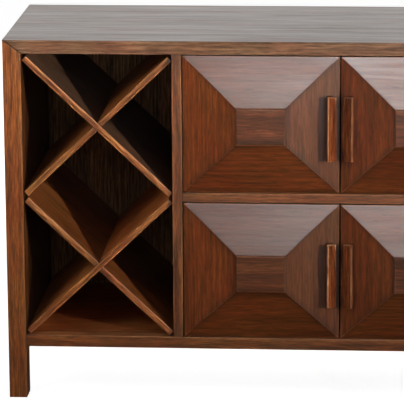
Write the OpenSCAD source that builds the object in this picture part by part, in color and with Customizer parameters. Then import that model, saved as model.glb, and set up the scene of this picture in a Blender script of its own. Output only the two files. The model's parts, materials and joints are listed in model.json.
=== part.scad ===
// Buffet with four raised-panel doors between two cross-board bottle racks.
// Millimetres. +Z up, the front faces -Y, the origin is on the floor under the middle.

/* [Body] */
// Overall width, outer face of leg to outer face of leg
body_w = 1616; // [1560:2:1680]
// Height from the floor to the top surface
body_h = 889; // [860:1:920]
// Depth of the frame, without the raised door panels
body_d = 514; // [470:1:540]
// Thickness of the top panel
top_t = 32; // [28:1:36]
// Free height under the bottom panel
clear_h = 131; // [110:1:150]
// Height of the front bottom rail
rail_h = 29; // [24:1:32]
// Depth of the front bottom rail
rail_d = 40; // [30:1:60]
// Thickness of the bottom panel behind the rail
bottom_t = 18; // [16:1:22]

/* [Legs and panels] */
// Width of a leg, seen from the front
leg_w = 44; // [38:1:50]
// Depth of a leg, seen from the side
leg_d = 60; // [50:1:70]
// Thickness of a side panel
side_t = 26; // [22:1:30]
// Thickness of a rail of the side frame
side_rail_t = 12; // [10:1:14]
// Height of a rail of the side frame
side_rail_h = 50; // [40:1:70]
// Thickness of a partition, which shows as a stile beside the doors
part_t = 24; // [22:1:28]
// Thickness of the middle shelf, which shows as a rail between the doors
shelf_t = 23; // [20:1:28]
// Thickness of the back panel
back_t = 8; // [6:1:12]
// How far the back panel is set in from the back of the legs
back_in = 6; // [2:1:12]

/* [Bottle racks] */
// Clear width of a rack
rack_w = 361; // [340:1:380]
// Thickness of a cross board
board_t = 15; // [12:1:18]
// How far the cross boards are set back from the front
rack_in = 10; // [5:1:40]
// Gap between the upper cross and the underside of the top
rack_top = 8; // [2:1:12]
// Gap between the ends of the upper and of the lower cross
rack_mid = 4; // [1:1:8]
// How far below half the rack's height the two crosses meet
rack_drop = 5; // [0:1:10]

/* [Doors] */
// Gap between a door and the frame
door_gap = 2.5; // [2:0.1:3.5]
// Gap between the two doors of a pair
pair_gap = 4; // [3:0.5:6]
// Height of the underside of the middle shelf
shelf_z = 497; // [465:1:500]
// Thickness of the flat board behind the raised panel
door_t = 16; // [14:1:18]
// Thickness of a raised panel at the door's edge
lip_t = 2; // [1.5:0.5:3]
// How far the raised panel stands out at its middle
rise = 30; // [20:1:34]
// Extra rise of the middle block
block_rise = 5; // [3:1:6]
// Width of the middle block
block_w = 118; // [100:2:140]
// Height of the middle block
block_h = 90; // [70:2:110]
// Bevel round the middle block
block_bevel = 2; // [1:0.5:2.5]

/* [Handles] */
// Length of a handle
handle_l = 156; // [120:2:180]
// Width of a handle's bar
handle_w = 22; // [16:1:24]
// Thickness of a handle's bar
handle_t = 8; // [6:1:9]
// Clear gap behind a handle's bar
handle_gap = 17; // [15:1:18]
// Length of a handle's post, along the bar
post_l = 19; // [14:1:24]
// How far a handle's middle is below the middle of its door
handle_drop = 5; // [0:1:20]
// Distance from a handle's middle line to the door's free edge
handle_in = 22.5; // [22:0.5:30]

/* [Hinge pins] */
// Radius of a hinge pin
pin_r = 2.5; // [2:0.1:2.6]
// Radial clearance of a hinge pin in its bush
pin_clear = 0.05; // [0.02:0.01:0.08]
// Distance from the door's outer edge to the pin's axis
pin_a = 12; // [10:0.5:13]
// Distance from the front of the frame to the pin's axis
pin_b = 6; // [5:0.5:6]

/* [Hidden] */
$fn = 48;

WOOD = [0.45, 0.24, 0.15];
DARK = [0.30, 0.16, 0.10];
EDGE = [0.56, 0.34, 0.21];
STEEL = [0.62, 0.62, 0.64];
BRASS = [0.70, 0.55, 0.28];
BLACK = [0.08, 0.08, 0.09];

stand = rise + block_rise;            // how far the doors stand out of the frame
fy = -(body_d + stand) / 2 + stand;   // front plane of the frame
by = (body_d + stand) / 2;            // back plane of the legs
hw = body_w / 2;
inx = hw - leg_w;                     // inner face of a leg and of a side panel
px1 = inx - rack_w;                   // rack face of a partition
px0 = px1 - part_t;                   // cabinet face of a partition
floor_z = clear_h + rail_h;           // upper face of the bottom panel and of its rail
under_z = body_h - top_t;             // underside of the top panel
in_y = by - back_in - back_t;         // front face of the back panel
mid_z = (floor_z + under_z) / 2 - rack_drop;  // height at which the crosses meet
// lower and upper end of the lower cross and of the upper cross
low_cross = [floor_z, mid_z - rack_mid / 2];
up_cross = [mid_z + rack_mid / 2, under_z - rack_top];
door_w = px0 - door_gap - pair_gap / 2;
// lower and upper door: height of the bottom edge, and height of the door
low_z = floor_z + door_gap;
low_h = shelf_z - floor_z - 2 * door_gap;
up_z = shelf_z + shelf_t + door_gap;
up_h = under_z - shelf_z - shelf_t - 2 * door_gap;
run_x = (door_w - block_w) / 2;       // width of a side facet
tilt = atan(rise / run_x);            // slope of a side facet
bush_r = 4;
bush_l = 10;
pin_l = door_gap + 8;
plate_t = 2;

// A box from one corner to the other
module block(a, b) {
  translate(a) cube([b[0] - a[0], b[1] - a[1], b[2] - a[2]]);
}
// An outline in x and z, extruded along y from y0 to y1
module along_y(points, y0, y1) {
  translate([0, y1, 0]) rotate([90, 0, 0]) linear_extrude(height = y1 - y0) polygon(points);
}
// An outline in y and z, extruded along x from x0 to x1
module along_x(points, x0, x1) {
  translate([x0, 0, 0]) rotate([90, 0, 90]) linear_extrude(height = x1 - x0) polygon(points);
}
// Mirrors for the right-hand half
module side(s) {
  if (s < 0) children();
  else mirror([1, 0, 0]) children();
}

// ---- frame ----------------------------------------------------------------
// The space that a left leg takes out of the top at a mitred corner, 1 mm over at the open sides
module mitre_cut(y0, y1) {
  along_y([[-hw - 1, under_z - 1], [-inx + leg_w / top_t, under_z - 1], [-hw - 1, body_h + top_t / leg_w]], y0, y1);
}
module top_panel() {
  color(WOOD) difference() {
    block([-hw, fy, under_z], [hw, by, body_h]);
    for (s = [-1, 1]) side(s) {
      mitre_cut(fy - 1, fy + leg_d);
      mitre_cut(by - leg_d, by + 1);
      translate([-px0 + door_gap + pin_a, fy + pin_b, under_z - 1]) cylinder(r = bush_r, h = bush_l + 1);
    }
  }
}
module leg(s, front) {
  y0 = front ? fy : by - leg_d;
  color(WOOD) side(s)
    along_y([[-hw, 0], [-inx, 0], [-inx, under_z], [-hw, body_h]], y0, y0 + leg_d);
}
module side_panel(s) {
  color(WOOD) side(s)
    block([-inx - side_t, fy + leg_d, clear_h], [-inx, by - leg_d, under_z]);
}
// The two rails that frame each side panel, in the same plane as its outer recess
module side_rails() {
  color(WOOD) for (s = [-1, 1], z = [clear_h, under_z - side_rail_h]) side(s)
    block([-inx - side_t - side_rail_t, fy + leg_d, z], [-inx - side_t, by - leg_d, z + side_rail_h]);
}
module front_bottom_rail() {
  color(WOOD) difference() {
    block([-inx, fy, clear_h], [inx, fy + rail_d, floor_z]);
    for (s = [-1, 1]) side(s)
      translate([-px0 + door_gap + pin_a, fy + pin_b, floor_z - bush_l]) cylinder(r = bush_r, h = bush_l + 1);
  }
}
module bottom_panel() {
  color(WOOD) block([-inx, fy + rail_d, floor_z - bottom_t], [inx, in_y, floor_z]);
}
module partition(s) {
  color(WOOD) side(s) block([-px1, fy, floor_z], [-px0, in_y, under_z]);
}
module middle_shelf() {
  color(WOOD) difference() {
    block([-px0, fy, shelf_z], [px0, in_y, shelf_z + shelf_t]);
    for (s = [-1, 1]) side(s) translate([-px0 + door_gap + pin_a, fy + pin_b, 0]) {
      translate([0, 0, shelf_z - 1]) cylinder(r = bush_r, h = bush_l + 1);
      translate([0, 0, shelf_z + shelf_t - bush_l]) cylinder(r = bush_r, h = bush_l + 1);
    }
  }
}
module back_panel() {
  color(DARK) block([-inx, in_y, clear_h], [inx, in_y + back_t, under_z]);
}

// ---- bottle racks -----------------------------------------------------------
// One board of a cross in its half of the rack, without its notch. Its ends are sawn square,
// and stop where their corners meet the walls of the rack.
module cross_blank(z0, z1, falling) {
  len = sqrt(rack_w * rack_w + (z1 - z0) * (z1 - z0));
  ang = atan((z1 - z0) / rack_w);
  end = board_t / 2 * max(tan(ang), 1 / tan(ang));
  translate([0, in_y, 0]) rotate([90, 0, 0]) linear_extrude(height = in_y - fy - rack_in)
    translate([-inx + rack_w / 2, (z0 + z1) / 2]) rotate(falling ? -ang : ang)
      translate([end - len / 2, -board_t / 2]) square([len - 2 * end, board_t]);
}
// The board with its half-lap notch: board 1 runs through at the front, board 2 at the back
module cross_board(s, z0, z1, falling, first) {
  half_y = (fy + rack_in + in_y) / 2;
  color(EDGE) side(s) difference() {
    cross_blank(z0, z1, falling);
    intersection() {
      cross_blank(z0, z1, !falling);
      if (first) block([-hw, half_y, z0], [0, by + 10, z1]);
      else block([-hw, fy - 10, z0], [0, half_y, z1]);
    }
  }
}

// ---- small fittings on the frame --------------------------------------------
module bush() {
  difference() {
    cylinder(r = bush_r, h = bush_l);
    translate([0, 0, -1]) cylinder(r = pin_r + pin_clear, h = bush_l + 2);
  }
}
module pivot_bushes() {
  color(BRASS) for (s = [-1, 1]) side(s) translate([-px0 + door_gap + pin_a, fy + pin_b, 0]) {
    translate([0, 0, under_z]) bush();
    translate([0, 0, shelf_z + shelf_t - bush_l]) bush();
    translate([0, 0, shelf_z]) bush();
    translate([0, 0, floor_z - bush_l]) bush();
  }
}
module magnetic_catches() {
  color(BLACK) for (z = [under_z, shelf_z])
    block([-24, fy + lip_t + door_t + 1.5, z - 14], [24, fy + lip_t + door_t + 17, z]);
}

// ---- doors -----------------------------------------------------------------------
// Every door is drawn as a left-hand one, with its hinge edge at x = 0, its bottom edge at z = 0
// and the frame's front plane at y = 0, then put in place and mirrored for the right.
module place_door(s, z) {
  side(s) translate([-px0 + door_gap, fy, z]) children();
}
module door_panel(s, z, h) {
  color(WOOD) place_door(s, z) difference() {
    block([0, lip_t, 0], [door_w, lip_t + door_t, h]);
    for (e = [0, 1]) block([3, lip_t + 1, e * (h - plate_t) - (1 - e)], [31, lip_t + 13, e * h + (1 - e) * plate_t + e]);
  }
}
module side_wedge(h) {
  // rises from the hinge edge to the middle block
  linear_extrude(height = h) polygon([[0, lip_t], [0, 0], [run_x, -rise], [run_x, lip_t]]);
}
module side_outline(h) {
  rz = (h - block_h) / 2;
  along_y([[0, 0], [run_x, rz], [run_x, h - rz], [0, h]], -rise - 1, lip_t + 1);
}
module hinge_facet(s, z, h) {
  color(WOOD) place_door(s, z) intersection() {
    side_wedge(h);
    side_outline(h);
  }
}
module handle_facet(s, z, h) {
  color(WOOD) place_door(s, z) translate([door_w, 0, 0]) mirror([1, 0, 0]) intersection() {
    side_wedge(h);
    side_outline(h);
  }
}
module end_facet(h) {
  rz = (h - block_h) / 2;
  intersection() {
    along_x([[lip_t, 0], [0, 0], [-rise, rz], [lip_t, rz]], 0, door_w);
    along_y([[0, 0], [door_w, 0], [door_w - run_x, rz], [run_x, rz]], -rise - 1, lip_t + 1);
  }
}
module bottom_facet(s, z, h) {
  color(WOOD) place_door(s, z) end_facet(h);
}
module top_facet(s, z, h) {
  color(WOOD) place_door(s, z) translate([0, 0, h]) mirror([0, 0, 1]) end_facet(h);
}
module centre_block(s, z, h) {
  b = block_bevel;
  color(WOOD) place_door(s, z) translate([door_w / 2, 0, h / 2]) intersection() {
    translate([0, 0, -block_h / 2]) linear_extrude(height = block_h) polygon([
      [-block_w / 2, lip_t], [-block_w / 2, b - stand], [-block_w / 2 + b, -stand],
      [block_w / 2 - b, -stand], [block_w / 2, b - stand], [block_w / 2, lip_t]]);
    along_x([[lip_t, -block_h / 2], [b - stand, -block_h / 2], [-stand, -block_h / 2 + b],
      [-stand, block_h / 2 - b], [b - stand, block_h / 2], [lip_t, block_h / 2]], -block_w / 2, block_w / 2);
  }
}
// A bar on two posts, square to the sloping facet that carries it
module handle(s, z, h) {
  c = 2;
  color(EDGE) place_door(s, z)
    translate([door_w - handle_in, -rise * handle_in / run_x, h / 2 - handle_drop]) rotate([0, 0, tilt]) {
      translate([0, 0, -handle_l / 2]) linear_extrude(height = handle_l) polygon([
        [-handle_w / 2, -handle_gap], [handle_w / 2, -handle_gap],
        [handle_w / 2, -handle_gap - handle_t + c], [handle_w / 2 - c, -handle_gap - handle_t],
        [-handle_w / 2 + c, -handle_gap - handle_t], [-handle_w / 2, -handle_gap - handle_t + c]]);
      for (e = [-1, 1])
        translate([-6.5, -handle_gap - 1, e * (handle_l / 2 - post_l / 2) - post_l / 2]) cube([13, handle_gap + 1, post_l]);
    }
}
// A plate let into the door's end and the pin that stands on it, at the top and at the bottom
module pivots(s, z, h) {
  color(STEEL) place_door(s, z) {
    block([3, lip_t + 1, h - plate_t], [31, lip_t + 13, h]);
    translate([pin_a, pin_b, h - plate_t]) cylinder(r = pin_r, h = plate_t + pin_l);
    block([3, lip_t + 1, 0], [31, lip_t + 13, plate_t]);
    translate([pin_a, pin_b, -pin_l]) cylinder(r = pin_r, h = plate_t + pin_l);
  }
}
module strike_plate(s, z, h) {
  // on the back of the door, in front of the magnet
  color(STEEL) place_door(s, z)
    block([door_w - 20, lip_t + door_t, h - 14], [door_w - 4, lip_t + door_t + 1.2, h - 3]);
}

top_panel();
bottom_panel();
front_bottom_rail();
middle_shelf();
back_panel();
side_panel(-1);  // left_side_panel
side_panel(1);  // right_side_panel
side_rails();
partition(-1);  // left_partition
partition(1);  // right_partition
leg(-1, true);  // front_left_leg
leg(1, true);  // front_right_leg
leg(-1, false);  // back_left_leg
leg(1, false);  // back_right_leg
cross_board(-1, up_cross[0], up_cross[1], true, true);  // left_upper_cross_board_1
cross_board(-1, up_cross[0], up_cross[1], false, false);  // left_upper_cross_board_2
cross_board(-1, low_cross[0], low_cross[1], false, true);  // left_lower_cross_board_1
cross_board(-1, low_cross[0], low_cross[1], true, false);  // left_lower_cross_board_2
cross_board(1, up_cross[0], up_cross[1], true, true);  // right_upper_cross_board_1
cross_board(1, up_cross[0], up_cross[1], false, false);  // right_upper_cross_board_2
cross_board(1, low_cross[0], low_cross[1], false, true);  // right_lower_cross_board_1
cross_board(1, low_cross[0], low_cross[1], true, false);  // right_lower_cross_board_2
pivot_bushes();
magnetic_catches();

door_panel(-1, up_z, up_h);  // upper_left_door_panel
top_facet(-1, up_z, up_h);  // upper_left_door_top_facet
bottom_facet(-1, up_z, up_h);  // upper_left_door_bottom_facet
hinge_facet(-1, up_z, up_h);  // upper_left_door_hinge_facet
handle_facet(-1, up_z, up_h);  // upper_left_door_handle_facet
centre_block(-1, up_z, up_h);  // upper_left_door_centre_block
handle(-1, up_z, up_h);  // upper_left_door_handle
pivots(-1, up_z, up_h);  // upper_left_door_pivots
strike_plate(-1, up_z, up_h);  // upper_left_door_strike_plate

door_panel(1, up_z, up_h);  // upper_right_door_panel
top_facet(1, up_z, up_h);  // upper_right_door_top_facet
bottom_facet(1, up_z, up_h);  // upper_right_door_bottom_facet
hinge_facet(1, up_z, up_h);  // upper_right_door_hinge_facet
handle_facet(1, up_z, up_h);  // upper_right_door_handle_facet
centre_block(1, up_z, up_h);  // upper_right_door_centre_block
handle(1, up_z, up_h);  // upper_right_door_handle
pivots(1, up_z, up_h);  // upper_right_door_pivots
strike_plate(1, up_z, up_h);  // upper_right_door_strike_plate

door_panel(-1, low_z, low_h);  // lower_left_door_panel
top_facet(-1, low_z, low_h);  // lower_left_door_top_facet
bottom_facet(-1, low_z, low_h);  // lower_left_door_bottom_facet
hinge_facet(-1, low_z, low_h);  // lower_left_door_hinge_facet
handle_facet(-1, low_z, low_h);  // lower_left_door_handle_facet
centre_block(-1, low_z, low_h);  // lower_left_door_centre_block
handle(-1, low_z, low_h);  // lower_left_door_handle
pivots(-1, low_z, low_h);  // lower_left_door_pivots
strike_plate(-1, low_z, low_h);  // lower_left_door_strike_plate

door_panel(1, low_z, low_h);  // lower_right_door_panel
top_facet(1, low_z, low_h);  // lower_right_door_top_facet
bottom_facet(1, low_z, low_h);  // lower_right_door_bottom_facet
hinge_facet(1, low_z, low_h);  // lower_right_door_hinge_facet
handle_facet(1, low_z, low_h);  // lower_right_door_handle_facet
centre_block(1, low_z, low_h);  // lower_right_door_centre_block
handle(1, low_z, low_h);  // lower_right_door_handle
pivots(1, low_z, low_h);  // lower_right_door_pivots
strike_plate(1, low_z, low_h);  // lower_right_door_strike_plate
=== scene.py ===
import json
import math
import random

import bmesh
import bpy
from mathutils import Matrix, Vector, noise
from mathutils.bvhtree import BVHTree

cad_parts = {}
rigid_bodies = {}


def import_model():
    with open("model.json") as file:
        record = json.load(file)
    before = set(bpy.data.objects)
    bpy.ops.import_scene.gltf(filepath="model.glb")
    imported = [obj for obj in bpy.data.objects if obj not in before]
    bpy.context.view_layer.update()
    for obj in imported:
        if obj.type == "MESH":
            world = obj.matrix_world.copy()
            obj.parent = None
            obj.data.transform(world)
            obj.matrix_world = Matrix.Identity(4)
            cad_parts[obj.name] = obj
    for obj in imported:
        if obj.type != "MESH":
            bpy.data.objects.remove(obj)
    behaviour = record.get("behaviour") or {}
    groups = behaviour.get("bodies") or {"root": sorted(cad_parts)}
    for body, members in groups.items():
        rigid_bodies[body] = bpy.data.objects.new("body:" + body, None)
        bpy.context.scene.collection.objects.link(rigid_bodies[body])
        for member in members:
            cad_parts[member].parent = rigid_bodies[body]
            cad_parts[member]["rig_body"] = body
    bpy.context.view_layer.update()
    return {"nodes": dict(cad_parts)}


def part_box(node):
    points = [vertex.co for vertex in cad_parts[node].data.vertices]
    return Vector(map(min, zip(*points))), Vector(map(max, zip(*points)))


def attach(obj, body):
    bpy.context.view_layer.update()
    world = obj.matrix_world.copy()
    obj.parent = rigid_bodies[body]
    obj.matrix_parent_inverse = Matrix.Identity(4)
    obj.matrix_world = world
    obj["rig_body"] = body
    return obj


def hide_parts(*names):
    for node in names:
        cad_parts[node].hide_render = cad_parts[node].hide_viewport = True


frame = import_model()
NODES = frame["nodes"]
DOORS = ("upper_left", "upper_right", "lower_left", "lower_right")
scene = bpy.context.scene


def lin(c):
    """sRGB 0-255 to linear, with alpha."""
    def one(v):
        v /= 255
        return v / 12.92 if v <= 0.04045 else ((v + 0.055) / 1.055) ** 2.4
    return tuple(one(v) for v in c) + (1.0,)


# ---------------------------------------------------------------------------
# Materials
# ---------------------------------------------------------------------------
class Graph:
    """Short-hand for building a node tree."""

    def __init__(self, name):
        self.mat = bpy.data.materials.new(name)
        self.mat.use_nodes = True
        self.t = self.mat.node_tree
        self.t.nodes.clear()
        self.x = 0

    def node(self, kind, **props):
        n = self.t.nodes.new(kind)
        self.x += 40
        n.location = (self.x, 0)
        for k, v in props.items():
            setattr(n, k, v)
        return n

    def set(self, socket, value):
        if isinstance(value, bpy.types.NodeSocket):
            self.t.links.new(value, socket)
        else:
            socket.default_value = value

    def math(self, op, a, b=None, c=None, clamp=False):
        n = self.node("ShaderNodeMath", operation=op, use_clamp=clamp)
        for i, v in enumerate((a, b, c)):
            if v is not None:
                self.set(n.inputs[i], v)
        return n.outputs[0]

    def vec(self, op, a, b=None, scale=None):
        n = self.node("ShaderNodeVectorMath", operation=op)
        self.set(n.inputs[0], a)
        if b is not None:
            self.set(n.inputs[1], b)
        if scale is not None:
            self.set(n.inputs["Scale"], scale)
        return n.outputs[0]

    def attr(self, name):
        return self.node("ShaderNodeAttribute", attribute_name=name)

    def noise(self, vector, scale=1.0, detail=2.0, rough=0.5, distort=0.0):
        n = self.node("ShaderNodeTexNoise", noise_dimensions="3D")
        self.set(n.inputs["Vector"], vector)
        self.set(n.inputs["Scale"], scale)
        self.set(n.inputs["Detail"], detail)
        self.set(n.inputs["Roughness"], rough)
        self.set(n.inputs["Distortion"], distort)
        return n

    def range(self, v, a, b, c=0.0, d=1.0, smooth=False):
        n = self.node("ShaderNodeMapRange", interpolation_type="SMOOTHSTEP" if smooth else "LINEAR")
        self.set(n.inputs["Value"], v)
        for k, w in zip(("From Min", "From Max", "To Min", "To Max"), (a, b, c, d)):
            self.set(n.inputs[k], w)
        return n.outputs[0]

    def ramp(self, fac, stops):
        n = self.node("ShaderNodeValToRGB")
        self.set(n.inputs[0], fac)
        e = n.color_ramp.elements
        while len(e) < len(stops):
            e.new(0.5)
        for el, (p, c) in zip(e, stops):
            el.position = p
            el.color = c
        return n.outputs[0]

    def mix(self, fac, a, b, mode="MIX"):
        n = self.node("ShaderNodeMix", data_type="RGBA", blend_type=mode)
        self.set(n.inputs["Factor"], fac)
        self.set(n.inputs[6], a)
        self.set(n.inputs[7], b)
        return n.outputs[2]


def wood(name, dark, mid, light, worn_and_highlight, rough=0.36, coat=0.45, contrast=1.0, wear_and_highlight=1.0, bump=0.4, stave=0.0, seam=1.1, spec=0.5, band=0.0, wave=0.0):
    """Stained wood. Reads the piece's own attributes: gr (place along, across and through it, in metres),
    sd (its own random shift), the arris attribute (free arrises: partly wear, partly a painted highlight), dirt
    (joints), soft (the stain round a joint) and tone (which on some pieces carries painted shade and light)."""
    g = Graph(name)
    p = g.attr("gr").outputs["Vector"]
    sd = g.attr("sd").outputs["Vector"]
    v = None
    if stave > 0:
        # glued-up staves, each with its own tone and its own stretch of the log
        sep = g.node("ShaderNodeSeparateXYZ")
        g.set(sep.inputs[0], p)
        cell = g.math("DIVIDE", sep.outputs[1], stave)
        wn = g.node("ShaderNodeTexWhiteNoise", noise_dimensions="1D")
        g.set(wn.inputs["W"], g.math("FLOOR", cell))
        v = g.range(wn.outputs["Value"], 0.0, 1.0, -0.09, 0.09)
        joint = g.math("ABSOLUTE", g.math("SUBTRACT", g.math("FRACT", cell), 0.5))
        joint = g.range(joint, 0.5 - 0.0011 / stave, 0.5 - 0.0004 / stave)
        sd = g.vec("ADD", sd, g.vec("SCALE", wn.outputs["Color"], scale=5.0))
    at = g.vec("ADD", p, sd)
    # the grain wanders slowly along its length
    w = g.noise(g.vec("MULTIPLY", at, (2.2, 8.0, 8.0)), detail=2.0).outputs["Color"]
    w = g.vec("MULTIPLY", g.vec("SUBTRACT", w, (0.5, 0.5, 0.5)), (0.0, 0.022, 0.022))
    q = g.vec("ADD", at, w)
    # growth rings about a heart that lies outside the board
    heart = g.vec("MULTIPLY", sd, (0.0, 0.013, 0.010))
    rv = g.vec("MULTIPLY", g.vec("ADD", g.vec("ADD", p, w), g.vec("ADD", heart, (0.0, 0.02, 0.16))), (0.0, 1.0, 1.0))
    dist = g.node("ShaderNodeVectorMath", operation="LENGTH")
    g.set(dist.inputs[0], rv)
    ring = g.math("MULTIPLY", dist.outputs["Value"], 6.2832 / 0.0085)
    ring = g.math("MULTIPLY_ADD", g.noise(g.vec("MULTIPLY", at, (3.0, 30.0, 30.0)), detail=2.0).outputs["Fac"], 9.0, ring)
    ring = g.math("MULTIPLY_ADD", g.math("SINE", ring), 0.5, 0.5)
    broad = g.noise(g.vec("MULTIPLY", q, (1.4, 20.0, 20.0)), detail=2.0).outputs["Fac"]
    dash = g.noise(g.vec("MULTIPLY", q, (19.0, 250.0, 250.0)), detail=3.0, rough=0.6).outputs["Fac"]
    long = g.noise(g.vec("MULTIPLY", q, (4.0, 120.0, 120.0)), detail=3.0, rough=0.65).outputs["Fac"]
    fibre = g.noise(g.vec("MULTIPLY", q, (30.0, 520.0, 520.0)), detail=2.0, rough=0.6).outputs["Fac"]
    pores = g.noise(g.vec("MULTIPLY", q, (60.0, 1100.0, 1100.0)), detail=1.0).outputs["Fac"]
    f = g.math("MULTIPLY", broad, 0.12)
    f = g.math("MULTIPLY_ADD", dash, 0.42, f)
    f = g.math("MULTIPLY_ADD", long, 0.16, f)
    f = g.math("MULTIPLY_ADD", fibre, 0.24, f)
    f = g.math("MULTIPLY_ADD", ring, 0.06, f)
    if band:
        stripe = g.noise(g.vec("MULTIPLY", q, (0.6, 42.0, 42.0)), detail=1.0).outputs["Fac"]
        f = g.math("MULTIPLY_ADD", g.math("SUBTRACT", stripe, 0.5), band, f)
    f = g.range(f, 0.5 - 0.16 / contrast, 0.5 + 0.16 / contrast)
    f = g.math("ADD", f, v, clamp=True) if v else g.math("ADD", f, 0.0, clamp=True)
    col = g.ramp(f, [(0.0, lin(dark)), (0.5, lin(mid)), (1.0, lin(light))])
    # slow drift between a redder and a yellower stain
    drift = g.noise(g.vec("MULTIPLY", at, (7.0, 16.0, 16.0)), detail=2.0).outputs["Fac"]
    hue = g.mix(g.range(drift, 0.35, 0.65), (1.04, 0.95, 0.90, 1), (0.97, 1.07, 1.0, 1))
    col = g.mix(1.0, col, hue, "MULTIPLY")
    # dark flecks and pores
    fleck = g.noise(g.vec("MULTIPLY", q, (32.0, 300.0, 300.0)), detail=1.0).outputs["Fac"]
    fleck = g.range(fleck, 0.66, 0.76, 0.0, 0.55)
    col = g.mix(fleck, col, lin([c * 0.55 for c in dark]))
    pore = g.range(pores, 0.62, 0.74, 0.0, 0.35)
    col = g.mix(pore, col, lin([c * 0.6 for c in dark]))
    mot = g.noise(g.vec("MULTIPLY", at, (5.0, 13.0, 13.0)), detail=3.0).outputs["Fac"]
    tone = g.math("MULTIPLY", g.range(mot, 0.3, 0.7, 0.86, 1.14), g.attr("tone").outputs["Fac"])
    patch = g.noise(g.vec("MULTIPLY", at, (34.0, 70.0, 70.0)), detail=3.0).outputs["Fac"]
    # the stain lies darker round a joint
    soft = g.math("MULTIPLY", g.attr("soft").outputs["Fac"], g.range(patch, 0.3, 0.7, 0.30, 0.62))
    tone = g.math("MULTIPLY", tone, g.math("SUBTRACT", 1.0, soft))
    col = g.vec("SCALE", col, scale=tone)
    # paler arrises, partly rubbed and partly a painted highlight, and dirt in the joints
    worn_and_highlight_f = g.math("POWER", g.attr("wear_and_highlight").outputs["Fac"], 2.6)
    worn_and_highlight_f = g.math("MULTIPLY", worn_and_highlight_f, g.range(patch, 0.34, 0.60, 0.30 * wear_and_highlight, 0.95 * wear_and_highlight), clamp=True)
    col = g.mix(worn_and_highlight_f, col, lin(worn_and_highlight))
    dirt = g.math("POWER", g.attr("dirt").outputs["Fac"], 1.8)
    if stave > 0:
        dirt = g.math("MAXIMUM", dirt, g.math("MULTIPLY", joint, 0.5))
    dirt = g.math("MULTIPLY", dirt, g.range(patch, 0.3, 0.7, 0.95, 0.55), clamp=True)
    col = g.mix(dirt, col, lin([c * seam for c in dark]))
    b = g.node("ShaderNodeBsdfPrincipled")
    g.set(b.inputs["Base Color"], col)
    r = g.math("MULTIPLY_ADD", long, -0.10, rough + 0.05)
    r = g.math("MULTIPLY_ADD", mot, 0.14, g.math("SUBTRACT", r, 0.07))
    r = g.math("MULTIPLY_ADD", g.attr("dirt").outputs["Fac"], 0.25, r)
    g.set(b.inputs["Roughness"], r)
    b.inputs["IOR"].default_value = 1.5
    b.inputs["Specular IOR Level"].default_value = spec
    b.inputs["Coat Weight"].default_value = coat
    if wave:
        # the polish is uneven, and lies in streaks along the grain
        sheen = g.noise(g.vec("MULTIPLY", q, (2.4, 26.0, 26.0)), detail=4.0, rough=0.65).outputs["Fac"]
        sheen = g.math("MULTIPLY_ADD", long, 0.35, g.math("MULTIPLY", sheen, 0.65))
        g.set(b.inputs["Coat Weight"], g.range(sheen, 0.38, 0.60, 0.35 * coat, coat))
    b.inputs["Coat Roughness"].default_value = 0.30
    h = g.math("MULTIPLY_ADD", dash, 0.45, g.math("MULTIPLY", fibre, 0.4))
    h = g.math("MULTIPLY_ADD", long, 0.45, h)
    h = g.math("SUBTRACT", h, g.math("MULTIPLY", pore, 0.8))
    if wave:
        h = g.math("MULTIPLY_ADD", broad, wave, h)
        roll = g.noise(g.vec("MULTIPLY", at, (5.0, 34.0, 34.0)), detail=2.0).outputs["Fac"]
        h = g.math("MULTIPLY_ADD", roll, wave * 0.7, h)
    h = g.math("SUBTRACT", h, g.math("MULTIPLY", fleck, 0.25))
    if stave > 0:
        h = g.math("SUBTRACT", h, g.math("MULTIPLY", joint, 0.6))
    bn = g.node("ShaderNodeBump")
    bn.inputs["Strength"].default_value = bump
    bn.inputs["Distance"].default_value = 0.0006
    g.set(bn.inputs["Height"], h)
    g.set(b.inputs["Normal"], bn.outputs[0])
    out = g.node("ShaderNodeOutputMaterial")
    g.set(out.inputs[0], b.outputs[0])
    return g.mat


def metal(name, base, rough, metallic=1.0, scale=900.0):
    """Brushed or moulded small fittings, in object coordinates."""
    g = Graph(name)
    p = g.node("ShaderNodeTexCoord").outputs["Object"]
    n = g.noise(g.vec("MULTIPLY", p, (scale, scale, scale * 0.15)), detail=3.0).outputs["Fac"]
    m = g.noise(p, scale=90.0, detail=3.0).outputs["Fac"]
    col = g.mix(g.range(m, 0.3, 0.7, 0.0, 0.6), lin(base), lin([c * 0.62 for c in base]))
    b = g.node("ShaderNodeBsdfPrincipled")
    g.set(b.inputs["Base Color"], col)
    b.inputs["Metallic"].default_value = metallic
    g.set(b.inputs["Roughness"], g.range(n, 0.3, 0.7, rough - 0.08, rough + 0.12))
    bn = g.node("ShaderNodeBump")
    bn.inputs["Strength"].default_value = 0.2
    bn.inputs["Distance"].default_value = 0.0002
    g.set(bn.inputs["Height"], n)
    g.set(b.inputs["Normal"], bn.outputs[0])
    out = g.node("ShaderNodeOutputMaterial")
    g.set(out.inputs[0], b.outputs[0])
    return g.mat


M_FRAME = wood("wood_frame", (74, 38, 19), (125, 70, 36), (168, 102, 58), (186, 128, 84), rough=0.43, coat=0.35, contrast=1.45, wear_and_highlight=0.5)
M_LEG = wood("wood_leg", (76, 38, 16), (126, 68, 29), (170, 101, 48), (186, 128, 84), rough=0.43, coat=0.3, contrast=1.5, wear_and_highlight=0.5)
M_TOP = wood("wood_top", (82, 54, 39), (134, 94, 71), (170, 127, 97), (192, 154, 128), stave=0.078, coat=1.0, wear_and_highlight=0.5, contrast=1.4, wave=2.6)
M_RACK = wood("wood_rack", (88, 44, 20), (158, 90, 46), (206, 132, 74), (222, 160, 102), contrast=1.7, wear_and_highlight=0.3)
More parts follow.
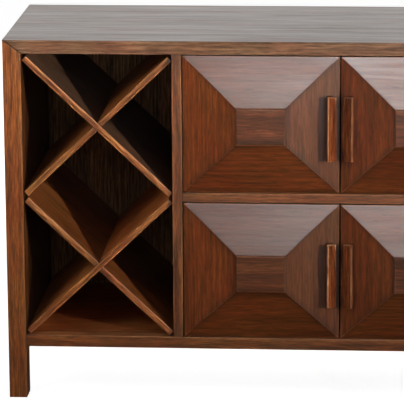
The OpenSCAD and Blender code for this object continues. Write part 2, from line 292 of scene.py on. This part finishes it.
# a greyer, dimmer copy of the rack wood, used as painted shade on the upper falling boards
M_RACK_DIM = wood("wood_rack_dim", (54, 38, 29), (94, 66, 50), (138, 102, 78), (150, 112, 84), rough=0.5, coat=0.15, contrast=1.4, wear_and_highlight=0.3)
M_DOOR = wood("wood_door", (76, 34, 12), (121, 59, 25), (158, 87, 40), (168, 108, 70), contrast=1.22)
M_DOOR_TOP = wood("wood_door_top", (98, 48, 22), (122, 63, 31), (142, 78, 40), (168, 108, 70), bump=0.22, coat=0.78, wave=0.9)
M_DOOR_TOP_LOW = wood("wood_door_top_low", (98, 48, 22), (122, 63, 31), (142, 78, 40), (168, 108, 70), bump=0.22, coat=0.62, wave=0.9)
# a greyer copy of the door wood for the facets that face right, towards the key light: painted sheen
M_DOOR_SHEEN_SIDE = wood("wood_door_side", (80, 43, 24), (114, 66, 40), (143, 89, 57), (172, 116, 80), rough=0.38, contrast=1.12)
M_BLOCK = wood("wood_block", (66, 34, 16), (108, 58, 31), (152, 92, 54), (176, 112, 72), contrast=1.25, wear_and_highlight=0.35, band=0.45)
M_HANDLE = wood("wood_handle", (70, 28, 11), (124, 58, 25), (166, 92, 46), (206, 150, 110), rough=0.6, coat=0.0, spec=0.1, contrast=1.3)
M_BOARD = wood("wood_board", (68, 34, 17), (112, 63, 33), (146, 90, 51), (166, 114, 78), stave=0.072, contrast=1.2, wear_and_highlight=0.6)
M_INSIDE = wood("wood_inside", (56, 39, 28), (100, 70, 49), (146, 104, 74), (130, 90, 62), rough=0.65, coat=0.0, bump=0.25, contrast=1.5, stave=0.06, spec=0.08)
M_BACK = wood("wood_back", (66, 38, 20), (104, 62, 35), (136, 86, 50), (150, 106, 74), rough=0.55, coat=0.0, bump=0.2, contrast=1.0, stave=0.36, spec=0.2)
M_STEEL = metal("metal_steel", (190, 190, 194), 0.34)
M_BRASS = metal("metal_brass", (206, 166, 96), 0.36)
M_PLASTIC = metal("plastic_black", (34, 34, 36), 0.5, metallic=0.0, scale=500.0)


# ---------------------------------------------------------------------------
# Detailed pieces from the CAD boards
# ---------------------------------------------------------------------------
trees = {}
boxes = {}
for n_, o_ in NODES.items():
    bm_ = bmesh.new()
    bm_.from_mesh(o_.data)
    trees[n_] = BVHTree.FromBMesh(bm_)
    bm_.free()
    boxes[n_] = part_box(n_)


def near_others(name, reach=0.0014):
    """The trees of the pieces that this one touches."""
    lo, hi = boxes[name]
    out = []
    for other, (a, b) in boxes.items():
        if other == name or "pivot" in other or "strike" in other or "catch" in other:
            continue
        if all(lo[i] - reach <= b[i] and a[i] <= hi[i] + reach for i in range(3)):
            out.append(trees[other])
    return out


def basis(along, across):
    """Rows: along the grain, across it in the wide face, and through the board."""
    x = Vector(along).normalized()
    y = Vector(across)
    y = (y - x * y.dot(x)).normalized()
    return Matrix((x, y, x.cross(y)))


def seed_of(name):
    return random.Random(sum((i + 3) * ord(c) for i, c in enumerate(name)))


def shape_board(bm, along, bevel, seg, inset, cut, border):
    """Round every arris, lay a narrow and a wide border inside each face, and cut the board across at intervals."""
    flat = bm.verts.layers.float.new("flat")
    wide = bm.verts.layers.float.new("wide")
    bmesh.ops.remove_doubles(bm, verts=bm.verts[:], dist=2e-6)
    bmesh.ops.dissolve_limit(bm, angle_limit=math.radians(0.3), verts=bm.verts[:], edges=bm.edges[:], delimit=set())
    if bm.calc_volume(signed=True) < 0:
        bmesh.ops.reverse_faces(bm, faces=bm.faces[:])
    # the small edges of a bore, or the knife edge of a mitre, would hold every arris back to their own size
    sharp = [e for e in bm.edges if len(e.link_faces) == 2 and 0.43 < e.calc_face_angle(0) < 2.1 and e.calc_length() > 2.2 * bevel]
    bmesh.ops.bevel(bm, geom=sharp, offset=bevel, offset_type="OFFSET", segments=seg, profile=0.6, affect="EDGES", clamp_overlap=True)
    bmesh.ops.dissolve_degenerate(bm, dist=2e-5, edges=bm.edges[:])

    def roomy(f, t):
        if len(f.verts) > 8 or f.calc_area() < 2.0e-5 or min(e.calc_length() for e in f.edges) < 2.6 * t:
            return False
        return f.calc_area() > 0.02 or all(c.is_convex for c in f.loops)

    faces = [f for f in bm.faces if roomy(f, inset)]
    if faces:
        bmesh.ops.inset_individual(bm, faces=faces, thickness=inset, depth=0.0, use_even_offset=True)
    inner = {v for f in faces for v in f.verts}
    faces = [f for f in faces if roomy(f, border)] if border else []
    if faces:
        bmesh.ops.inset_individual(bm, faces=faces, thickness=border, depth=0.0, use_even_offset=True)
    middle = {v for f in faces for v in f.verts}
    for v in bm.verts:
        v[flat] = 1.0 if v in inner or v in middle else 0.0
        v[wide] = 1.0 if v in middle else 0.0
    knotty = [f for f in bm.faces if len(f.verts) > 8 and not all(c.is_convex for c in f.loops)]
    if knotty:
        bmesh.ops.triangulate(bm, faces=knotty)
    if cut:
        x = Vector(along).normalized()
        d = [v.co.dot(x) for v in bm.verts]
        lo, hi = min(d), max(d)
        k = max(1, int(round((hi - lo) / cut)))
        for i in range(1, k):
            at = lo + (hi - lo) * i / k
            bmesh.ops.bisect_plane(bm, geom=bm.verts[:] + bm.edges[:] + bm.faces[:], dist=1e-6, plane_co=x * at, plane_no=x)
    bmesh.ops.dissolve_degenerate(bm, dist=2e-5, edges=bm.edges[:])
    return flat, wide


def finish_piece(name, bm, along, across, mat, marks, wobble=0.00025, arris=0.0005, edge_fn=None, tone=None, tone_fn=None):
    """Writes the attributes, gives the surface slight unevenness, and puts the piece in place of its CAD node."""
    r = seed_of(name)
    R = basis(along, across)
    off = Vector((r.uniform(-9, 9), r.uniform(-9, 9), r.uniform(-9, 9)))
    own = r.uniform(0.92, 1.08)
    tone = own if tone is None else tone
    others = near_others(name)
    lo, hi = (Vector(c) for c in boxes[name])
    mid = (lo + hi) / 2
    flat, wide = marks
    bm.normal_update()
    bm.verts.index_update()
    rows = []
    for v in bm.verts:
        edge = 1.0 - v[flat]
        near = 9.0
        if v[wide] < 0.999:
            near = min((t.find_nearest(v.co, 0.008)[3] or 9.0 for t in others), default=9.0)
        seam = 1.0 if near < 0.0013 else (0.45 if near < 0.0031 else 0.0)
        wear_and_highlight, dirt = edge * (1.0 - seam), edge * seam
        soft = (1.0 - v[wide]) * min(1.0, max(0.0, 1.0 - near / 0.0075))
        if edge_fn:
            wear_and_highlight, dirt, soft = edge_fn(v.co, edge, wear_and_highlight, dirt, soft)
        t = tone * (tone_fn(v.co) if tone_fn else 1.0)
        rows.append((R @ (v.co - mid), wear_and_highlight, dirt, soft, t))
        n1 = noise.noise((v.co * 9.0) + off)
        n2 = noise.noise((v.co * 31.0) - off)
        push = wobble * (0.5 + 0.5 * n1)
        if edge > 0.5 and seam == 0.0:
            push += arris * max(0.0, n2)
        v.co -= v.normal * push
        v.co = [min(max(v.co[i], lo[i]), hi[i]) for i in range(3)]
    bad = [v for v in bm.verts if any(v.co[i] < lo[i] - 1e-5 or v.co[i] > hi[i] + 1e-5 for i in range(3))]
    if bad:
        print("OUTSIDE", name, len(bad), [tuple(round(c, 4) for c in v.co) for v in bad[:4]])
    me = bpy.data.meshes.new("v_" + name)
    bmesh.ops.triangulate(bm, faces=[f for f in bm.faces if len(f.verts) > 4])
    bm.to_mesh(me)
    bm.free()
    for key in ("flat", "wide"):
        if key in me.attributes:
            me.attributes.remove(me.attributes[key])
    kinds = {"gr": "FLOAT_VECTOR", "sd": "FLOAT_VECTOR", "wear_and_highlight": "FLOAT", "dirt": "FLOAT", "soft": "FLOAT", "tone": "FLOAT"}
    for key, kind in kinds.items():
        me.attributes.new(key, kind, "POINT")
    me.attributes["gr"].data.foreach_set("vector", [c for row in rows for c in row[0]])
    me.attributes["sd"].data.foreach_set("vector", [c for _ in rows for c in off])
    for i, key in enumerate(("wear_and_highlight", "dirt", "soft", "tone")):
        me.attributes[key].data.foreach_set("value", [row[i + 1] for row in rows])
    me.materials.append(mat)
    for p in me.polygons:
        p.use_smooth = True
    ob = bpy.data.objects.new(me.name, me)
    scene.collection.objects.link(ob)
    mod = ob.modifiers.new("weighted", "WEIGHTED_NORMAL")
    mod.weight = 80
    mod.keep_sharp = True
    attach(ob, NODES[name]["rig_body"])
    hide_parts(name)
    return ob


X, Y, Z = (1, 0, 0), (0, 1, 0), (0, 0, 1)


def board(name, along, mat, across=None, bevel=0.0014, seg=3, inset=0.0035, border=0.010, cut=0.05, **kw):
    across = across or {X: Y, Y: Z, Z: X}[along]
    bm = bmesh.new()
    bm.from_mesh(NODES[name].data)
    marks = shape_board(bm, along, bevel, seg, inset, cut, border)
    return finish_piece(name, bm, along, across, mat, marks, **kw)


def facet_edges(d, shade=1.0):
    """The outer edge of a door is paler along its top and its free edge, partly rubbed and partly a painted highlight
    where the arris catches the light. The mitres hold dirt.
    """
    lo, hi = boxes[d + "_door_panel"]
    free, hinge = (hi[0], lo[0]) if "left" in d else (lo[0], hi[0])

    def fn(co, edge, wear_and_highlight, dirt, soft):
        rims = ((hi[2] - co.z, 0.85), (abs(free - co.x), 0.85), (abs(co.x - hinge), 0.35), (co.z - lo[2], 0.3))
        best, w = min(rims)
        if best < 0.0024:
            return edge * w, 0.0, 0.0
        return wear_and_highlight, dirt, soft * shade
    return fn


def tight_joint(co, edge, wear_and_highlight, dirt, soft):
    """A well-made mitre shows only as a change of grain."""
    return wear_and_highlight, dirt * 0.4, soft * 0.2


def handle_edges(d):
    """A handle is pale on its outer and upper arrises, partly rubbed and partly a painted highlight."""
    lo, hi = boxes[d + "_door_handle"]
    mid = (lo[0] + hi[0]) / 2
    outer, rub_and_highlight = (-1, 1.0) if "left" in d else (1, 0.7)

    def fn(co, edge, wear_and_highlight, dirt, soft):
        if co.z > hi[2] - 0.0035 or (co.x - mid) * outer > 0.0065:
            return wear_and_highlight * rub_and_highlight, dirt, soft
        return wear_and_highlight * 0.3, dirt, soft
    return fn


FRONT = -0.2395


def painted_inner_shade(co):
    """Painted shade: faces inside the racks and the cabinet are set much darker; other faces take the painted shade
    towards the floor.
    """
    return 0.32 if abs(co.x) < 0.7646 and co.y > FRONT + 0.0008 else painted_floor_shade(co)


def painted_floor_shade(co):
    """Painted shade: the uprights are set a little darker towards the floor."""
    return 0.66 + 0.39 * co.z / 0.889


def top_tone(co):
    """The polish has gone dark along the front arris, most of all at the corners."""
    if co.z > 0.8886:
        return 0.65
    if co.z > 0.8862 and co.y < FRONT + 0.002:
        return 0.25 + 0.4 * min(1.0, (0.808 - abs(co.x)) / 0.2)
    return 1.05


TOP = board("top_panel", X, M_TOP, bevel=0.0018, edge_fn=tight_joint, tone=1.0, tone_fn=top_tone)
# the legs carry painted shade: darker inside the racks and towards the floor
for side_ in ("front_left", "front_right", "back_left", "back_right"):
    board(side_ + "_leg", Z, M_LEG, bevel=0.0018, tone=1.4 if side_ == "front_left" else 1.0, edge_fn=tight_joint, tone_fn=painted_inner_shade)
board("front_bottom_rail", X, M_LEG, across=Z, tone=0.77)
board("middle_shelf", X, M_FRAME, tone=0.88)
board("bottom_panel", X, M_BOARD, tone=2.1)
board("side_rails", Y, M_FRAME)
# the side panels and partitions carry painted shade: darker inside the racks and towards the floor
for side_ in ("left", "right"):
    board(side_ + "_side_panel", Z, M_BOARD, across=Y, tone=1.0, tone_fn=painted_inner_shade)
    board(side_ + "_partition", Z, M_FRAME, across=Y, tone=0.84, tone_fn=painted_floor_shade)
# painted light: the back panel is set up to 1.8 times lighter towards its top
back = board("back_panel", Z, M_INSIDE, tone=0.95, tone_fn=lambda co: 1.0 + 0.8 * min(1.0, max(0.0, (co.z - 0.6) / 0.15)))
# its outer face is smoother than the face inside the racks
back.data.materials.append(M_BACK)
rear = boxes["back_panel"][1][1]
for face in back.data.polygons:
    if face.center.y > rear - 0.002:
        face.material_index = 1

RUN, RISE = 0.3615, 0.3425
RACK_FRONT = boxes["left_upper_cross_board_1"][0][1]


def rack_edge_and_painted_tone(face):
    """The sawn front edge of a rack board is paler than its stained faces. The faces' tone is painted light and
    shade, set by which way the board slopes to the light.
    """
    return lambda co: 1.0 if co.y < RACK_FRONT + 0.0011 else face


for side_, s in (("left", 1), ("right", -1)):
    for level_, falling_first in (("upper", True), ("lower", False)):
        for k in (1, 2):
            falling = falling_first if k == 1 else not falling_first
            dim = falling and level_ == "upper"
            # painted light and shade: rising boards' faces are set lighter (1.7), falling boards' faces darker (0.6,
            # 0.62)
            cross = board(f"{side_}_{level_}_cross_board_{k}", (RUN * s, 0, -RISE if falling else RISE), M_RACK, across=Y, bevel=0.0016, inset=0.003, border=0, tone_fn=rack_edge_and_painted_tone((0.62 if dim else 0.6) if falling else 1.7))
            if dim:
                # painted shade: the upper boards that fall away from the light take a greyer, dimmer copy of the rack
                # wood behind their front edge
                cross.data.materials.append(M_RACK_DIM)
                for face in cross.data.polygons:
                    if face.center.y > RACK_FRONT + 0.0018:
                        face.material_index = 1

TONES = {
    "upper_left_door_hinge_facet": 1.05, "upper_left_door_handle_facet": 0.75,
    "upper_left_door_centre_block": 0.9, "upper_right_door_centre_block": 0.9,
    "lower_left_door_centre_block": 0.75, "lower_right_door_centre_block": 0.75,
    "lower_left_door_bottom_facet": 0.64, "lower_right_door_bottom_facet": 0.64,
}
for d in DOORS:
    fe = facet_edges(d)
    board(d + "_door_panel", Z, M_BOARD, bevel=0.0008, seg=2, inset=0.003)
    for f_ in ("top", "bottom"):
        n_ = f"{d}_door_{f_}_facet"
        board(n_, X, (M_DOOR_TOP_LOW if "lower" in d else M_DOOR_TOP) if f_ == "top" else M_DOOR, across=Z, bevel=0.0006, seg=2, inset=0.0026, border=0.011, cut=0.03, edge_fn=facet_edges(d, 0.4 if f_ == "top" else 1.0), tone=TONES.get(n_, {"top": 0.45, "bottom": 0.75}[f_]))
    for f_ in ("hinge", "handle"):
        n_ = f"{d}_door_{f_}_facet"
        # the right-facing facets take the greyer copy of the door wood, a painted sheen
        board(n_, Z, M_DOOR_SHEEN_SIDE if ("left" in d) == (f_ == "handle") else M_DOOR, bevel=0.0006, seg=2, inset=0.0026, border=0.011, cut=0.03, edge_fn=fe, tone=TONES.get(n_, {"hinge": 0.95, "handle": 0.8}[f_]))
    board(d + "_door_centre_block", X, M_BLOCK, tone=TONES[d + "_door_centre_block"], across=Z, bevel=0.0006, seg=2, inset=0.0026, border=0.006, cut=0.03)
    board(d + "_door_handle", Z, M_HANDLE, bevel=0.0011, seg=3, inset=0.0014, border=0, cut=0.02, edge_fn=handle_edges(d), arris=0.0003, tone=0.85 if "left" in d else 0.45)


def keep_node(name, mat, bevel):
    o = NODES[name]
    o.data.materials.clear()
    o.data.materials.append(mat)
    m = o.modifiers.new("edges", "BEVEL")
    m.width = bevel
    m.segments = 2
    m.limit_method = "ANGLE"
    m.angle_limit = math.radians(40)


keep_node("pivot_bushes", M_BRASS, 0.0002)
keep_node("magnetic_catches", M_PLASTIC, 0.0008)
for d in DOORS:
    keep_node(d + "_door_pivots", M_STEEL, 0.0002)
    keep_node(d + "_door_strike_plate", M_STEEL, 0.0002)

# ---------------------------------------------------------------------------
# Stage, lights and camera
# ---------------------------------------------------------------------------


def floor():
    """White to the camera, mid grey to diffuse light and dark in reflections."""
    bm = bmesh.new()
    bmesh.ops.create_grid(bm, x_segments=2, y_segments=2, size=60)
    me = bpy.data.meshes.new("stage_floor")
    bm.to_mesh(me)
    bm.free()
    g = Graph("stage_pale")
    p = g.node("ShaderNodeTexCoord").outputs["Object"]
    n = g.noise(p, scale=1.5, detail=2.0).outputs["Fac"]
    b = g.node("ShaderNodeBsdfPrincipled")
    g.set(b.inputs["Base Color"], g.mix(n, (0.60, 0.60, 0.60, 1), (0.63, 0.63, 0.63, 1)))
    b.inputs["Roughness"].default_value = 0.9
    b.inputs["Specular IOR Level"].default_value = 0.0
    b.inputs["Emission Color"].default_value = (1, 1, 1, 1)
    b.inputs["Emission Strength"].default_value = 0.88
    mid = g.node("ShaderNodeBsdfDiffuse")
    mid.inputs["Color"].default_value = (0.09, 0.09, 0.09, 1)
    low = g.node("ShaderNodeBsdfDiffuse")
    low.inputs["Color"].default_value = (0.02, 0.02, 0.02, 1)
    lp = g.node("ShaderNodeLightPath")
    s1 = g.node("ShaderNodeMixShader")
    g.set(s1.inputs[0], lp.outputs["Is Glossy Ray"])
    g.set(s1.inputs[1], mid.outputs[0])
    g.set(s1.inputs[2], low.outputs[0])
    s2 = g.node("ShaderNodeMixShader")
    g.set(s2.inputs[0], lp.outputs["Is Camera Ray"])
    g.set(s2.inputs[1], s1.outputs[0])
    g.set(s2.inputs[2], b.outputs[0])
    out = g.node("ShaderNodeOutputMaterial")
    g.set(out.inputs[0], s2.outputs[0])
    me.materials.append(g.mat)
    ob = bpy.data.objects.new("stage_floor", me)
    ob.location = (0, 0, -0.0005)
    scene.collection.objects.link(ob)


floor()


def area(name, at, to, size, power, color=(1, 1, 1), spread=180, diffuse=True, glossy=True):
    L = bpy.data.lights.new(name, "AREA")
    L.shape = "RECTANGLE"
    L.size, L.size_y = size
    L.energy = power
    L.color = color
    L.spread = math.radians(spread)
    o = bpy.data.objects.new(name, L)
    o.location = at
    d = Vector(to) - Vector(at)
    o.rotation_euler = d.to_track_quat("-Z", "Y").to_euler()
    o.visible_camera = False
    o.visible_diffuse = diffuse
    o.visible_glossy = glossy
    scene.collection.objects.link(o)
    return o


area("key_right", (4.3, -3.85, 1.25), (-0.45, FRONT, 1.0), (0.5, 0.5), 10, (1.0, 0.98, 0.95), spread=28, glossy=False)
area("top_left", (-1.9, -1.9, 2.1), (-0.45, FRONT, 0.6), (1.6, 1.0), 20, glossy=False)
area("front_fill", (-0.6, -6.0, 1.3), (-0.3, FRONT, 0.5), (1.2, 1.2), 12, glossy=False)
panel = area("gloss_front", (0.45, -2.4, 1.5), (0.1, FRONT, 0.75), (1.7, 0.9), 46, diffuse=False)
area("gloss_near", (0.6, -2.0, 0.8), (-0.1, FRONT, 0.75), (1.2, 0.3), 2.6, diffuse=False)
# a low panel to the left, for the sheen that the upper facets show from the front right
left_panel = area("gloss_left", (-2.6, -3.0, 0.75), (0.1, FRONT, 0.7), (1.8, 0.9), 30, diffuse=False)
# the panel in front makes the facets shine, and is kept off the top, which would glare from behind
kept_off = bpy.data.collections.new("kept_off")
kept_off.objects.link(TOP)
panel.light_linking.receiver_collection = kept_off
upper_facets = bpy.data.collections.new("upper_facets")
for d in DOORS:
    upper_facets.objects.link(bpy.data.objects[f"v_{d}_door_top_facet"])
left_panel.light_linking.receiver_collection = upper_facets
kept_off.collection_objects[0].light_linking.link_state = "EXCLUDE"
area("back_fill", (0.6, 3.6, 1.9), (0, 0.3, 0.5), (3.0, 1.2), 60, glossy=False)

w = bpy.data.worlds.new("studio")
scene.world = w
w.use_nodes = True
nt = w.node_tree
nt.nodes.clear()
tc = nt.nodes.new("ShaderNodeTexCoord")
sep = nt.nodes.new("ShaderNodeSeparateXYZ")
nt.links.new(tc.outputs["Generated"], sep.inputs[0])
# in reflections the room is dark in front and pale behind
mr = nt.nodes.new("ShaderNodeMapRange")
mr.interpolation_type = "SMOOTHSTEP"
nt.links.new(sep.outputs[1], mr.inputs["Value"])
mr.inputs["From Min"].default_value = -0.2
mr.inputs["From Max"].default_value = 0.7
mr.inputs["To Min"].default_value = 0.01
mr.inputs["To Max"].default_value = 0.78
lp = nt.nodes.new("ShaderNodeLightPath")
m1 = nt.nodes.new("ShaderNodeMix")
m1.data_type = "FLOAT"
nt.links.new(lp.outputs["Is Diffuse Ray"], m1.inputs[0])
nt.links.new(mr.outputs[0], m1.inputs[2])
m1.inputs[3].default_value = 0.15
m2 = nt.nodes.new("ShaderNodeMix")
m2.data_type = "FLOAT"
nt.links.new(lp.outputs["Is Camera Ray"], m2.inputs[0])
nt.links.new(m1.outputs[0], m2.inputs[2])
m2.inputs[3].default_value = 1.0
bg = nt.nodes.new("ShaderNodeBackground")
bg.inputs["Color"].default_value = (1, 1, 1, 1)
nt.links.new(m2.outputs[0], bg.inputs["Strength"])
wo = nt.nodes.new("ShaderNodeOutputWorld")
nt.links.new(bg.outputs[0], wo.inputs[0])

cam_data = bpy.data.cameras.new("photo_camera")
cam = bpy.data.objects.new("photo_camera", cam_data)
scene.collection.objects.link(cam)
yaw, pitch, roll = math.radians(4.292), math.radians(13.297), math.radians(-0.367)
fwd = Vector((-math.sin(yaw) * math.cos(pitch), math.cos(yaw) * math.cos(pitch), -math.sin(pitch)))
right = Vector((math.cos(yaw), math.sin(yaw), 0))
up = right.cross(fwd)
r2 = right * math.cos(roll) + up * math.sin(roll)
u2 = up * math.cos(roll) - right * math.sin(roll)
m = Matrix((r2, u2, -fwd)).transposed().to_4x4()
m.translation = Vector((0.1938, FRONT - 7.001, 2.1569))
cam.matrix_world = m
cam_data.sensor_width = 36
cam_data.lens = 3001.9 / 404 * 36
cam_data.clip_start = 0.05
cam_data.clip_end = 200
scene.camera = cam
scene.view_settings.view_transform = "Standard"
scene.view_settings.look = "None"
